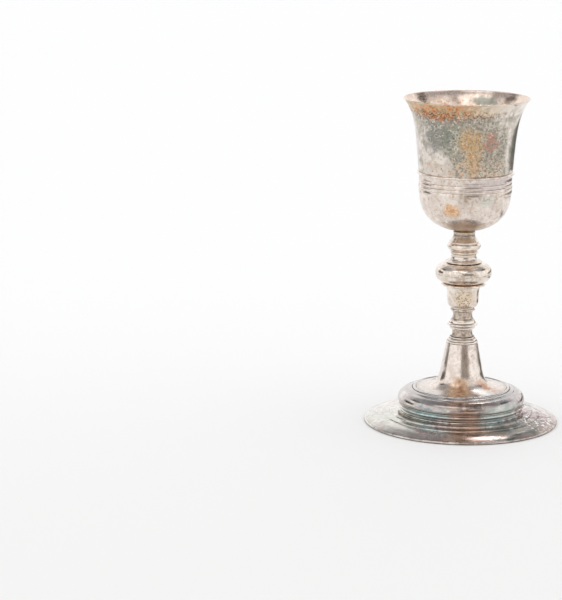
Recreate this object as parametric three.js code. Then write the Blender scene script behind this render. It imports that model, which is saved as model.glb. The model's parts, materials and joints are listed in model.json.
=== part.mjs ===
// Communion chalice of silver: a tall flared cup held in a moulded false cup, a turned
// baluster stem with a round knop, and a stepped circular foot.
// The stem pieces are strung on a tie rod and drawn down onto the foot by a nut inside the
// trumpet of the foot. The cup has a threaded stud of its own, and screws off the neck.
// Millimetres, +Z up, origin at the centre of the foot on the surface that it stands on.

import * as THREE from 'three';

// Overall sizes
const HEIGHT = 220;
const LIP_RADIUS = 42.1;
const FOOT_RADIUS = 65.2;

// Fits
const SEAT_GAP = 0.1; // between faces that are drawn together
const SHELL_GAP = 0.15; // between the cup and the false cup around it
const BORE_RADIUS = 3.4; // clearance hole for the rod and the stud
const ROD_RADIUS = 3;

// Sheet thicknesses
const CUP_WALL = 0.9;
const FALSE_CUP_WALL = 0.6;
const KNOP_WALL = 1;
const FOOT_WALL = 1;

// Cup and false cup, heights above the lowest point of the false cup
const BOWL_RADIUS = 30.63;
const BOWL_DEPTH = 27.8;
const BOWL_POWER = 2.38; // 2 is an ellipse, more is squarer
const BOWL_SEAT_RADIUS = 7;
const BOWL_STEPS = 8;
const GIRDLE_RADIUS = 31.45;
const GIRDLE_HEIGHT = 38.35;
const RIM_WIRE_RADIUS = 32.45;
const RIM_WIRE_HEIGHT = 1.45;
const THROAT_RADIUS = 31.63;
const THROAT_HEIGHT = 41.85;
const CUP_TAPER = 3.45; // widening of the straight side from the throat to the lip
const FLARE_POWER = 4.55; // how late the lip turns outwards

// Foot levels and radii
const RIM_HEIGHT = 1.9;
const BRIM_TOP = 8;
const BAND_TOP = 13.8;
const DISC_LEVEL = 23.7;
const DISC_RADIUS = 30.4;
const TRUMPET_TOP = 54.4;
const TRUMPET_FLOOR = 51.4; // seat of the nut washer, inside the trumpet

// Rod, stud and nut
const ROD_BOTTOM = 41.5;
const ROD_TOP = 118.9;
const STUD_BOTTOM = 120.2;
const BOSS_RADIUS = 4.7;
const BOSS_GAP = 0.3;
const NUT_WIDTH = 12;
const NUT_CORNER = 1.6;
const NUT_HEIGHT = 4.5;
const NUT_WASHER_RADIUS = 8;
const NUT_WASHER_HEIGHT = 1.1;

// Heights of the stem pieces, from the foot up
const STEM_HEIGHTS = {
  footCollar: 5.3,
  lowerNeck: 3.9,
  ringKnop: 7.2,
  lowerSpool: 4.9,
  lowerCollar: 1.9,
  vase: 15.1,
  knopFlange: 2,
  knopLower: 6.6,
  knopUpper: 7.3,
  knopPlate: 1.9,
  upperSpool: 3.8,
  upperRing: 1.8,
  upperKnop: 5.4,
  neck: 7.45,
  cupWasher: 0.6,
};
const KNOP_RADIUS = 18.9;

// Facets around each piece
const WIDE_FACETS = 36;
const TRUMPET_FACETS = 28;
const STEM_FACETS = 24;
const ROD_FACETS = 16;

const FINISHES = {
  silver: { color: 0xc9c2b8, roughness: 0.28, metalness: 1 },
  tarnished: { color: 0x9c9890, roughness: 0.36, metalness: 1 },
  foot: { color: 0xb0aba2, roughness: 0.34, metalness: 1 },
  brass: { color: 0xa9854a, roughness: 0.45, metalness: 1 },
  iron: { color: 0x6a625a, roughness: 0.6, metalness: 1 },
};

const point = ([radius, height]) => new THREE.Vector2(radius, height);

// Points up the side of the bowl, a superellipse, on a skin set inwards from its outside.
// The flat seat at the bottom comes first, from the given radius.
function bowlSide(inset, from) {
  const radius = BOWL_RADIUS - inset;
  const depth = BOWL_DEPTH - inset;
  const points = [
    [from, inset],
    [BOWL_SEAT_RADIUS, inset],
  ];
  for (let i = 1; i <= BOWL_STEPS; i += 1) {
    const angle = (i / BOWL_STEPS) * (Math.PI / 2);
    const across = radius * Math.sin(angle) ** (2 / BOWL_POWER);
    const up = depth * (1 - Math.cos(angle) ** (2 / BOWL_POWER));
    points.push([across, inset + up]);
  }
  return points;
}

// Points of an ellipse arc in the radius and height plane.
function arc(centre, radii, fromDegrees, toDegrees, steps) {
  const points = [];
  for (let i = 0; i <= steps; i += 1) {
    const angle = THREE.MathUtils.degToRad(
      THREE.MathUtils.lerp(fromDegrees, toDegrees, i / steps),
    );
    points.push([
      centre[0] + radii[0] * Math.cos(angle),
      centre[1] + radii[1] * Math.sin(angle),
    ]);
  }
  return points;
}

// Points of a smooth curve through a few given ones.
function smooth(through, steps) {
  const curve = new THREE.SplineCurve(through.map(point));
  return curve.getPoints(steps).map(({ x, y }) => [x, y]);
}

// A piece turned about the axis. Its outline is closed, or starts and ends on the axis.
function turned(name, outline, finish, facets = STEM_FACETS) {
  let points = outline.map(point);
  if (THREE.ShapeUtils.area(points) < 0) points = points.reverse();
  const onAxis = points[0].x === 0 && points[points.length - 1].x === 0;
  if (!onAxis) points.push(points[0].clone());
  const geometry = new THREE.LatheGeometry(points, facets);
  geometry.rotateX(Math.PI / 2);
  const mesh = new THREE.Mesh(geometry, new THREE.MeshStandardMaterial(FINISHES[finish]));
  mesh.name = name;
  return mesh;
}

// A turned bead with a straight bore for the rod: only its outer side is given.
function bored(name, outer, finish = 'silver') {
  const bottom = outer[0][1];
  const top = outer[outer.length - 1][1];
  return turned(name, [...outer, [BORE_RADIUS, top], [BORE_RADIUS, bottom]], finish);
}

function at(level, mesh) {
  mesh.position.z = level;
  return mesh;
}

// Cup. Heights are above the lowest point of the false cup.

// Outside radius of the cup, from 0 at the throat to 1 at the lip
function flare(share) {
  const curl = LIP_RADIUS - THROAT_RADIUS - CUP_TAPER;
  return THROAT_RADIUS + CUP_TAPER * share + curl * share ** FLARE_POWER;
}

function cup(lipHeight) {
  const bottom = FALSE_CUP_WALL + SHELL_GAP;
  const bowl = bowlSide(bottom, 0);
  const lining = bowlSide(bottom + CUP_WALL, 0);
  const shoulder = [
    [30.05, GIRDLE_HEIGHT - 7],
    [30.1, GIRDLE_HEIGHT - 1.6],
    [30.85, GIRDLE_HEIGHT + 0.1],
  ];
  const liningShoulder = [
    [29.2, GIRDLE_HEIGHT - 7],
    [29.4, GIRDLE_HEIGHT - 1.6],
    [30.2, GIRDLE_HEIGHT + 1],
  ];
  const side = [0, 0.4, 0.62, 0.78, 0.89, 0.97];
  const rise = lipHeight - THROAT_HEIGHT;
  const outside = side.map((share) => [flare(share), THROAT_HEIGHT + rise * share]);
  const inside = side.map((share) => [
    flare(share) - CUP_WALL,
    THROAT_HEIGHT + rise * share,
  ]);
  const lip = [
    [LIP_RADIUS, lipHeight - 0.25],
    [LIP_RADIUS - 0.15, lipHeight],
    [LIP_RADIUS - 0.75, lipHeight],
  ];
  return turned(
    'cup',
    [
      ...bowl,
      ...shoulder,
      ...outside,
      ...lip,
      ...inside.reverse(),
      ...liningShoulder.reverse(),
      ...lining.reverse(),
    ],
    'tarnished',
    WIDE_FACETS,
  );
}

// The disc soldered under the cup, which goes through the hole in the false cup
function cupBoss() {
  const top = FALSE_CUP_WALL + SHELL_GAP - SEAT_GAP;
  return turned('cup_boss', [[0, 0], [BOSS_RADIUS, 0], [BOSS_RADIUS, top], [0, top]], 'brass');
}

function cupStud(length) {
  const tip = 0.8;
  return turned(
    'cup_stud',
    [
      [0, -length],
      [ROD_RADIUS - tip, -length],
      [ROD_RADIUS, tip - length],
      [ROD_RADIUS, -SEAT_GAP],
      [0, -SEAT_GAP],
    ],
    'brass',
    ROD_FACETS,
  );
}

// A reed of the girdle: its outer side, from its lower groove to just under its upper one
function reed(radius, bottom, height) {
  return arc([radius - 0.4, bottom + height / 2], [0.4, height / 2], -75, 75, 2);
}

function falseCup() {
  const hole = BOSS_RADIUS + BOSS_GAP;
  const inner = bowlSide(FALSE_CUP_WALL, hole);
  // The lowest reed covers the widest place of the bowl
  const outer = bowlSide(0, hole).slice(0, -1);
  const girdle = [
    ...reed(31, 25, 4),
    ...reed(31.25, 29, 2.2),
    ...reed(31, 31.2, 2.8),
    [30.75, 34.1],
    [31, 34.6],
    [31.05, 36.4],
    [GIRDLE_RADIUS, GIRDLE_HEIGHT],
  ];
  const insideOfGirdle = [
    [31.05, GIRDLE_HEIGHT],
    [30.25, GIRDLE_HEIGHT - 1.5],
    [30.2, BOWL_DEPTH + 2],
  ];
  return turned(
    'false_cup',
    [...outer, ...girdle, ...insideOfGirdle, ...inner.reverse()],
    'silver',
    WIDE_FACETS,
  );
}

// The wire soldered round the top of the false cup
function falseCupRim() {
  const inner = 31.6;
  const middle = RIM_WIRE_HEIGHT / 2;
  return turned(
    'false_cup_rim',
    [
      [inner - 0.4, 0],
      ...arc([RIM_WIRE_RADIUS - 0.7, middle], [0.7, middle], -60, 60, 2),
      [inner, RIM_WIRE_HEIGHT],
    ],
    'silver',
    WIDE_FACETS,
  );
}

// Stem, from the cup down. Heights are above each piece's own seat.

function cupWasher(height) {
  return bored('cup_washer', [[7, 0], [7, height]], 'brass');
}

function neck(height) {
  const profile = smooth([[10.2, 0.7], [8.2, 2.9], [7.1, 5.2], [7.5, height]], 4);
  return bored('neck', [[10, 0], ...profile]);
}

function upperKnop(height) {
  const belly = arc([8.3, 3.2], [3, 2.6], -58, 62, 4);
  return bored('upper_knop', [[9.1, 0], ...belly, [9.2, height]]);
}

function upperRing(height) {
  const round = arc([8.6, 0.95], [1, 0.7], -60, 60, 2);
  return bored('upper_ring', [[8.7, 0], ...round, [8.8, height]]);
}

function upperSpool(height) {
  return bored('upper_spool', smooth([[9.2, 0], [8.7, 0.8], [8.4, 2.3], [8.7, height]], 4));
}

function knopPlate(height) {
  return bored('knop_plate', [[11.8, 0], [12.4, 0.4], [12.4, 0.8], [11.2, 1.2], [9.7, height]]);
}

// Half of the round knop as a raised shell, open at its seam and bored at its far end
function knopHalf(name, depth, power, height, upwards) {
  const steps = 6;
  const shell = (radius, deep, end) => {
    const points = [];
    for (let i = 0; i <= steps; i += 1) {
      const fromSeam = end * Math.sin((i / steps) * (Math.PI / 2));
      points.push([radius * (1 - (fromSeam / deep) ** power) ** (1 / power), fromSeam]);
    }
    return points;
  };
  const inside = shell(KNOP_RADIUS - KNOP_WALL, depth - KNOP_WALL, height - KNOP_WALL);
  const outline = [
    ...shell(KNOP_RADIUS, depth, height),
    [BORE_RADIUS, height],
    [BORE_RADIUS, height - KNOP_WALL],
    ...inside.reverse(),
  ];
  return turned(name, outline.map(([r, z]) => [r, upwards ? z : height - z]), 'silver');
}

const knopUpper = (height) => knopHalf('knop_upper', 7.8, 3, height, true);

const knopLower = (height) => knopHalf('knop_lower', 8.5, 2.2, height, false);

function knopFlange(height) {
  const round = arc([13.8, 1.05], [1.1, 0.7], -60, 60, 2);
  return bored('knop_flange', [[12.8, 0], ...round, [13.6, height]]);
}

function vase(height) {
  const belly = arc([6, 5.6], [4.55, 5.3], -66, 0, 4);
  return bored('vase', [[7.8, 0], ...belly, [10.7, 9.5], [10.95, 12.4], [11.6, height]]);
}

function lowerCollar(height) {
  const round = arc([7.3, 1.1], [1, 0.75], -50, 60, 2);
  return bored('lower_collar', [[7.3, 0], ...round, [7.9, height]]);
}

function lowerSpool(height) {
  return bored('lower_spool', smooth([[7, 0], [6.55, 1.4], [6.45, 3.2], [6.9, height]], 4));
}

// A sharp ring between two bevels
function ringKnop(height) {
  const underside = [[7.5, 0], [8.4, 0.6], [8.6, 1.4], [9, 2.2]];
  const ring = arc([9.3, 3.3], [0.9, 0.75], -60, 60, 2);
  const bevel = [[8.6, 4.6], [8.3, 5.5], [7.7, 6.6], [7.2, height]];
  return bored('ring_knop', [...underside, ...ring, ...bevel]);
}

function lowerNeck(height) {
  return bored('lower_neck', smooth([[7.1, 0], [6.8, 1.2], [6.75, 2.6], [7.1, height]], 3));
}

// Three steps that spread the stem onto the foot
function footCollar(height) {
  const steps = [[10.6, 0], [10.6, 0.8], [10.3, 1.3], [9.95, 1.6], [9.95, 2.5]];
  const cap = [[9.3, 3], [8.7, 3.2], [8.6, 4], [7.7, 4.4], [7.2, height]];
  return bored('foot_collar', [...steps, ...cap]);
}

const STEM = [
  footCollar,
  lowerNeck,
  ringKnop,
  lowerSpool,
  lowerCollar,
  vase,
  knopFlange,
  knopLower,
  knopUpper,
  knopPlate,
  upperSpool,
  upperRing,
  upperKnop,
  neck,
  cupWasher,
];

// Foot. Heights are above the surface that it stands on.

// The hollow cone under the stem, with a flat end for the nut and a disc for its hem
function footTrumpet() {
  const outer = smooth(
    [
      [DISC_RADIUS, DISC_LEVEL],
      [25.5, 24.2],
      [20.6, 25.6],
      [17.2, 27.8],
      [14.8, 33],
      [13.3, 40.5],
      [11.9, 47.5],
      [10.7, TRUMPET_TOP],
    ],
    12,
  );
  const inner = smooth(
    [
      [DISC_RADIUS, DISC_LEVEL - FOOT_WALL],
      [25.3, 23.2],
      [20, 24.6],
      [16.2, 27.4],
      [13.8, 33],
      [12.3, 40.5],
      [11, 47.5],
      [10.2, TRUMPET_FLOOR],
    ],
    9,
  );
  return turned(
    'foot_trumpet',
    [
      ...outer,
      [BORE_RADIUS, TRUMPET_TOP],
      [BORE_RADIUS, TRUMPET_FLOOR],
      ...inner.reverse(),
    ],
    'silver',
    TRUMPET_FACETS,
  );
}

// The wire laid in the angle between the disc and the dome
function footBead() {
  const inner = DISC_RADIUS + SEAT_GAP;
  const bottom = DISC_LEVEL - FOOT_WALL;
  const half = 1.15;
  const bead = arc([inner + half, bottom + 0.5], [half, 0.85], 180, 0, 4);
  const outline = [[inner, bottom], ...bead, [inner + 2 * half, bottom]];
  return turned('foot_bead', outline, 'foot', TRUMPET_FACETS);
}

// The rounded shoulder of the foot, with a ledge inside that carries the trumpet's disc
function footDome() {
  const ledge = DISC_LEVEL - FOOT_WALL - SEAT_GAP;
  const step = [[33, ledge], [33.1, 23.1], [35.5, 22.6], [35.9, 21.9]];
  const shoulder = arc([36.4, 15.9], [6.3, 5.9], 90, 0, 6);
  const hem = [[42.4, 14.6], [41.9, BAND_TOP + SEAT_GAP]];
  const inside = [
    [40.8, BAND_TOP + SEAT_GAP],
    ...arc([36, 15.6], [5.6, 5.1], 0, 90, 4),
    [29, ledge - FOOT_WALL],
    [29, ledge],
  ];
  return turned('foot_dome', [...step, ...shoulder, ...hem, ...inside], 'foot', WIDE_FACETS);
}

// A bead over a cove, between the shoulder and the brim
function footBand() {
  const bottom = BRIM_TOP + SEAT_GAP;
  const cove = [[42.4, bottom], [42.3, 8.7], [41.1, 9.3], [41, 10.2], [41.5, 10.9]];
  const bead = arc([41.7, 11.75], [0.9, 0.75], -60, 70, 2);
  const neckLine = [[41.5, 12.8], [41.9, BAND_TOP]];
  const inside = [[40.2, BAND_TOP], [39.8, bottom]];
  return turned('foot_band', [...cove, ...bead, ...neckLine, ...inside], 'foot', WIDE_FACETS);
}

// The wide brim: two low steps, and a slope that falls to the rim wire
function footBrim() {
  const ledge = [[38.6, BRIM_TOP], [47.2, BRIM_TOP]];
  const steps = [[47.9, 7.5], [48.3, 6.7], [52.6, 6], [53.1, 5.3]];
  const seat = RIM_HEIGHT + SEAT_GAP;
  const slope = smooth([[54, 5.05], [58.5, 4.15], [62, 3], [64.4, seat]], 3);
  const under = smooth([[63, seat], [58, 3.1], [53, 4.2], [47.6, 5.6]], 3);
  const inside = [[46.6, BRIM_TOP - FOOT_WALL], [38.6, BRIM_TOP - FOOT_WALL]];
  const outline = [...ledge, ...steps, ...slope, ...under, ...inside];
  return turned('foot_brim', outline, 'foot', WIDE_FACETS);
}

// The wire that the foot stands on
function footRimWire() {
  const inner = FOOT_RADIUS - 2;
  const middle = RIM_HEIGHT / 2;
  const round = arc([FOOT_RADIUS - 0.8, middle], [0.8, middle], -90, 90, 6);
  const outline = [[inner, 0], ...round, [inner, RIM_HEIGHT]];
  return turned('foot_rim_wire', outline, 'foot', WIDE_FACETS);
}

// Fastening of the stem

function tieRod() {
  const chamfer = 0.6;
  return turned(
    'tie_rod',
    [
      [0, ROD_BOTTOM],
      [ROD_RADIUS - chamfer, ROD_BOTTOM],
      [ROD_RADIUS, ROD_BOTTOM + chamfer],
      [ROD_RADIUS, ROD_TOP],
      [0, ROD_TOP],
    ],
    'iron',
    ROD_FACETS,
  );
}

function nutWasher() {
  return turned(
    'nut_washer',
    [
      [BORE_RADIUS, 0],
      [NUT_WASHER_RADIUS, 0],
      [NUT_WASHER_RADIUS, NUT_WASHER_HEIGHT],
      [BORE_RADIUS, NUT_WASHER_HEIGHT],
    ],
    'brass',
    ROD_FACETS,
  );
}

// A square nut with clipped corners
function retainingNut() {
  const half = NUT_WIDTH / 2;
  const clip = half - NUT_CORNER;
  const outline = new THREE.Shape(
    [
      [half, -clip],
      [half, clip],
      [clip, half],
      [-clip, half],
      [-half, clip],
      [-half, -clip],
      [-clip, -half],
      [clip, -half],
    ].map(point),
  );
  outline.holes.push(new THREE.Path().absarc(0, 0, BORE_RADIUS, 0, Math.PI * 2, true));
  const geometry = new THREE.ExtrudeGeometry(outline, {
    depth: NUT_HEIGHT,
    bevelEnabled: false,
    curveSegments: ROD_FACETS,
  });
  const nut = new THREE.Mesh(geometry, new THREE.MeshStandardMaterial(FINISHES.iron));
  nut.name = 'retaining_nut';
  return nut;
}

// Assembly

const chalice = new THREE.Group();

const foot = new THREE.Group();
foot.add(footRimWire(), footBrim(), footBand(), footDome(), footBead(), footTrumpet());
chalice.add(foot);

const stem = new THREE.Group();
let level = TRUMPET_TOP;
for (const makePiece of STEM) {
  level += SEAT_GAP;
  const piece = makePiece(STEM_HEIGHTS[makePiece.name]);
  piece.position.z = level;
  stem.add(piece);
  level += STEM_HEIGHTS[makePiece.name];
}
chalice.add(stem);

const upper = new THREE.Group();
upper.position.z = level + SEAT_GAP;
upper.add(cup(HEIGHT - upper.position.z), cupBoss(), cupStud(upper.position.z - STUD_BOTTOM));
upper.add(falseCup(), at(GIRDLE_HEIGHT + SEAT_GAP, falseCupRim()));
chalice.add(upper);

const washerLevel = TRUMPET_FLOOR - SEAT_GAP - NUT_WASHER_HEIGHT;
const fastening = new THREE.Group();
fastening.add(
  tieRod(),
  at(washerLevel, nutWasher()),
  at(washerLevel - SEAT_GAP - NUT_HEIGHT, retainingNut()),
);
chalice.add(fastening);

export default chalice;
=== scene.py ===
"""Looks of the communion chalice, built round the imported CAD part.

Each turned piece is revolved again here from a finer outline, with softened edges, slight
hand-made unevenness and screw threads. Outlines are (radius, height) points in millimetres, and
every piece is set at the level of the CAD node that it replaces. The studio is in metres.
"""

import json
import math

import bmesh
import bpy
import numpy as np
from mathutils import Matrix, Vector


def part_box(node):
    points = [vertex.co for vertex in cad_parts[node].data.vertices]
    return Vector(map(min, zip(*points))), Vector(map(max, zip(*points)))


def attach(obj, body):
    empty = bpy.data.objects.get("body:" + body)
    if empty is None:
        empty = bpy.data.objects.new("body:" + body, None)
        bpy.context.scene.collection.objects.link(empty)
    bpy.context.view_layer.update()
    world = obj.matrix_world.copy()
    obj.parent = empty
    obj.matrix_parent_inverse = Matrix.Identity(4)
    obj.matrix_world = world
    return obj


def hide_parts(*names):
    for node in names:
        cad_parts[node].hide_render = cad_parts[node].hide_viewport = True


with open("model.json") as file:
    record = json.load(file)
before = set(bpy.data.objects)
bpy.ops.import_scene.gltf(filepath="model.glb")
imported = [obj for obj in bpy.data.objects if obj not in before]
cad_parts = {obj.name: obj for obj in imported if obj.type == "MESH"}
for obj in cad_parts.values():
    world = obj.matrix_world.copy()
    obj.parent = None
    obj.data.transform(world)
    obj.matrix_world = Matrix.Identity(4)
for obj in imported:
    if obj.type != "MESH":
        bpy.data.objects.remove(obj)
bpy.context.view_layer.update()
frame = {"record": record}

MM = 0.001
PER_METRE = 1000
TINY = 1e-9


def levels(node):
    """The lowest and the highest level of a CAD node."""
    low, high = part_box(node)
    return PER_METRE * low.z, PER_METRE * high.z


def level_of(node):
    return levels(node)[0]


def radius_of(node):
    low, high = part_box(node)
    return PER_METRE * (high.x - low.x) / 2


HEIGHT = levels("cup")[1]
BORE = 3.4  # radius of the hole through the stem pieces and the nut

# ---- outlines

SHARP = 24  # degrees; a corner that turns by less is left alone
EDGE_SHARE = 0.45  # of an edge, that the rounding of one corner may take up
FINE_STEP, GROOVE_REACH, GROOVE_DEPTH = 0.12, 1.1, 0.16


def arc(centre, radii, start, end, steps):
    """Points of an ellipse arc, in the radius and height plane."""
    turn = np.radians(np.linspace(start, end, steps + 1))
    return [
        (centre[0] + radii[0] * math.cos(t), centre[1] + radii[1] * math.sin(t))
        for t in turn
    ]


def curve(points, steps):
    """A smooth curve through a few points (uniform Catmull-Rom)."""
    p = [points[0], *points, points[-1]]
    out = []
    spans = len(points) - 1
    for k in range(steps + 1):
        at = min(k / steps * spans, spans - TINY)
        i, t = int(at), at - int(at)
        a, b, c, d = (np.array(q, float) for q in p[i : i + 4])
        out.append(
            tuple(
                0.5
                * (
                    2 * b
                    + (c - a) * t
                    + (2 * a - 5 * b + 4 * c - d) * t * t
                    + (3 * b - a - 3 * c + d) * t**3
                )
            )
        )
    return out


def bored(outer):
    """A closed outline with a straight bore, from its outer side, bottom first."""
    return [*outer, (BORE, outer[-1][1]), (BORE, outer[0][1])]


def resample(outline, step, closed):
    """The same outline with no edge longer than the step."""
    points = [np.array(p, float) for p in outline]
    pairs = list(zip(points, points[1:] + points[:1]))
    if not closed:
        pairs.pop()
    out = []
    for a, b in pairs:
        n = max(1, math.ceil(np.linalg.norm(b - a) / step))
        out += [a + (b - a) * k / n for k in range(n)]
    if not closed:
        out.append(points[-1])
    return np.array(out)


def soften(outline, radius, closed):
    """Rounds each sharp corner."""
    points = [np.array(p, float) for p in outline]
    count = len(points)
    out = []
    for i, p in enumerate(points):
        if not closed and i in (0, count - 1):
            out.append(p)
            continue
        before, after = points[i - 1] - p, points[(i + 1) % count] - p
        lb, la = np.linalg.norm(before), np.linalg.norm(after)
        cosine = float(np.clip(-before @ after / (lb * la), -1, 1))
        if math.degrees(math.acos(cosine)) < SHARP:
            out.append(p)
            continue
        reach = min(radius, EDGE_SHARE * lb, EDGE_SHARE * la)
        a, b = p + before / lb * reach, p + after / la * reach
        for t in (0, 0.25, 0.5, 0.75, 1):
            out.append((1 - t) ** 2 * a + 2 * t * (1 - t) * p + t * t * b)
    return out


def hollows(points, closed):
    """1 where a point lies deep in a groove of its outline, -1 where it stands proud."""
    fine = resample(points, FINE_STEP, closed)
    n = len(fine)
    span = max(1, round(GROOVE_REACH / FINE_STEP))
    index = np.arange(n)
    take = (lambda k: (index + k) % n) if closed else (lambda k: np.clip(index + k, 0, n - 1))
    mean = sum(fine[take(k)] for k in range(-span, span + 1)) / (2 * span + 1)
    tangent = fine[take(2)] - fine[take(-2)]
    normal = np.stack([tangent[:, 1], -tangent[:, 0]], 1)
    normal /= np.linalg.norm(normal, axis=1, keepdims=True) + TINY
    inward = ((mean - fine) * normal).sum(1) / GROOVE_DEPTH
    nearest = [int(((fine - p) ** 2).sum(1).argmin()) for p in points]
    return np.clip(inward[nearest], -1, 1)


# ---- meshes

WAVES_ROUND = (2, 3, 4, 5, 7, 9, 12)
FULL_TURN = 6.283
CLIMB, LENGTHWISE, FALL_OFF = 0.05, 0.035, 0.8
DENT_RADIUS = 30  # unevenness fades from here towards the axis
ON_AXIS = 1e-7  # metres


def uneven(turn, height, seed, size):
    """A smooth unevenness of hand work, in millimetres, over the angle and the height."""
    rng = np.random.default_rng(seed)
    total = np.zeros(np.broadcast(turn, height).shape)
    for waves in WAVES_ROUND:
        phase, tilt, _ = rng.uniform(0, FULL_TURN, 3)
        climb = rng.uniform(-CLIMB, CLIMB) * waves
        around = np.cos(waves * turn + phase + climb * height)
        along = np.cos(LENGTHWISE * waves * height + tilt)
        total = total + around * along / (waves**FALL_OFF)
    return size * total / 2


def grid(facets, count, closed):
    """Four-cornered faces between neighbouring copies of an outline."""
    j = np.arange(facets)[:, None]
    i = np.arange(count if closed else count - 1)[None, :]
    near, far, after = j * count, (j + 1) % facets * count, (i + 1) % count
    return np.stack([near + i, far + i, far + after, near + after], -1).reshape(-1, 4)


def revolve(name, outline, *, facets, level=0.0, step=0.8, edge=0.12, dent=None, closed=True,
            shape=None):
    """A mesh turned about the axis.

    facets is their number round the axis, step the longest edge along the outline and edge the
    radius of its rounded corners. dent is (seed, size). shape gives new radii from the radii, the
    heights and the angles. An outline that isn't closed starts and ends on the axis.
    """
    flat = np.array(outline, float)
    area = np.sum(flat[:, 0] * np.roll(flat[:, 1], -1) - np.roll(flat[:, 0], -1) * flat[:, 1])
    if area < 0:
        flat = flat[::-1]
    points = resample(soften(flat, edge, closed), step, closed)
    depth = hollows(points, closed)
    points[:, 1] += level
    turn = 2 * math.pi * np.arange(facets) / facets
    radius = np.repeat(points[None, :, 0], facets, 0)
    height = np.repeat(points[None, :, 1], facets, 0)
    angle = np.repeat(turn[:, None], len(points), 1)
    if shape:
        radius = shape(radius, height, angle)
    if dent:
        radius = radius + uneven(angle, height, *dent) * np.clip(radius / DENT_RADIUS, 0, 1) ** 2
    xyz = np.stack([radius * np.sin(angle), -radius * np.cos(angle), height], -1).reshape(-1, 3)
    mesh = bpy.data.meshes.new(name)
    mesh.from_pydata((xyz * MM).tolist(), [], grid(facets, len(points), closed).tolist())
    mesh.update()
    # per point: how deep it lies in a groove, for dirt and painted shade, and how far it stands
    # proud, for wear
    for label, sign in (("grime", 1), ("wear", -1)):
        layer = mesh.attributes.new(label, "FLOAT", "POINT")
        share = np.clip(sign * depth, 0, 1)
        layer.data.foreach_set("value", np.tile(share, facets).astype(np.float32))
    if not closed:
        weld_poles(mesh)
    for polygon in mesh.polygons:
        polygon.use_smooth = True
    piece = bpy.data.objects.new(name, mesh)
    bpy.context.scene.collection.objects.link(piece)
    return piece


def weld_poles(mesh):
    """Joins the points that lie on the axis."""
    work = bmesh.new()
    work.from_mesh(mesh)
    poles = [v for v in work.verts if math.hypot(v.co.x, v.co.y) < ON_AXIS]
    bmesh.ops.remove_doubles(work, verts=poles, dist=ON_AXIS)
    bmesh.ops.dissolve_degenerate(work, edges=work.edges, dist=TINY)
    work.to_mesh(mesh)
    work.free()


# ---- the cup

BOWL_RADIUS, BOWL_DEPTH, BOWL_POWER, SEAT = 30.63, 27.8, 2.38, 7.0
SHELL, GAP, WALL = 0.6, 0.15, 0.9
GIRDLE = 38.35
THROAT_RADIUS, THROAT = 31.63, 41.85
LIP_RADIUS = radius_of("cup")
CUP_TAPER, FLARE_POWER = 3.45, 4.55
BOWL_STEPS, SEAT_ANGLE = 34, 11.25  # degrees, where the flat seat ends
REED_BULGE = 0.45
FALSE_CUP_HOLE = 5.0


def bowl_side(inset, start):
    """The side of the bowl on a skin set inwards, from its flat seat up to its widest place."""
    radius, depth = BOWL_RADIUS - inset, BOWL_DEPTH - inset
    out = [(start, inset), (SEAT - 0.4, inset), (SEAT + 0.1, inset + 0.08)]
    for k in range(BOWL_STEPS + 1):
        t = math.radians(SEAT_ANGLE + (90 - SEAT_ANGLE) * k / BOWL_STEPS)
        across = radius * math.sin(t) ** (2 / BOWL_POWER)
        up = depth * (1 - math.cos(t) ** (2 / BOWL_POWER))
        out.append((across, inset + up))
    return out


def flare(share):
    """Radius of the upper cup, at a share of the way from the throat to the lip."""
    curl = LIP_RADIUS - THROAT_RADIUS - CUP_TAPER
    return THROAT_RADIUS + CUP_TAPER * share + curl * share**FLARE_POWER


def cup_outline(lip):
    """Outside up to the lip, and back down the lining. Heights are above the false cup's foot."""
    bottom = SHELL + GAP
    shares = np.linspace(0, 0.985, 46)
    rise = lip - THROAT
    outside = [(flare(s), THROAT + rise * s) for s in shares]
    inside = [(r - WALL, z) for r, z in outside[:-2]]
    rim = arc((LIP_RADIUS - 0.5, lip - 0.5), (0.5, 0.5), -20, 90, 6)
    rim += arc((LIP_RADIUS - 0.75, lip - 0.4), (0.4, 0.4), 100, 190, 5)
    return [
        *bowl_side(bottom, 0),
        (30.05, GIRDLE - 7),
        (30.1, GIRDLE - 1.6),
        (30.95, GIRDLE + 0.1),
        *outside,
        *rim,
        *reversed(inside),
        (30.2, GIRDLE + 1),
        (29.4, GIRDLE - 1.6),
        (29.2, GIRDLE - 7),
        *reversed(bowl_side(bottom + WALL, 0)),
    ]


def reed(radius, bottom, height):
    """A half-round ridge on the side of the false cup."""
    centre = (radius - REED_BULGE, bottom + height / 2)
    return arc(centre, (REED_BULGE, height / 2), -80, 80, 12)


def false_cup_outline():
    band = curve([(30.75, 34.15), (31.02, 34.7), (31.0, 36.6), (31.42, GIRDLE)], 14)
    return [
        *bowl_side(0, FALSE_CUP_HOLE)[:-1],
        *reed(31.0, 25.0, 3.95),
        *reed(31.25, 29.0, 2.2),
        *reed(31.0, 31.2, 2.8),
        *band,
        (31.05, GIRDLE),
        (30.25, GIRDLE - 1.5),
        (30.2, BOWL_DEPTH + 2),
        *reversed(bowl_side(SHELL, FALSE_CUP_HOLE)),
    ]


def wire_outline():
    return [(31.0, 0), *arc((31.72, 0.725), (0.72, 0.725), -75, 75, 14), (31.26, 1.45)]


# ---- the stem

KNOP_RADIUS = radius_of("knop_upper")
KNOP_WALL, KNOP_STEPS = 1, 30


def knop_half(depth, power, height, upwards):
    """One of the two hollow shells of the knop, cut off flat where the next piece sits."""

    def shell(inset):
        radius, deep, end = KNOP_RADIUS - inset, depth - inset, height - inset
        quarter = [k / KNOP_STEPS * math.pi / 2 for k in range(KNOP_STEPS + 1)]
        from_seam = [end * math.sin(t) for t in quarter]
        return [(radius * (1 - (s / deep) ** power) ** (1 / power), s) for s in from_seam]

    outline = [
        *shell(0),
        (BORE, height),
        (BORE, height - KNOP_WALL),
        *reversed(shell(KNOP_WALL)),
    ]
    return [(r, z if upwards else height - z) for r, z in outline]


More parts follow.
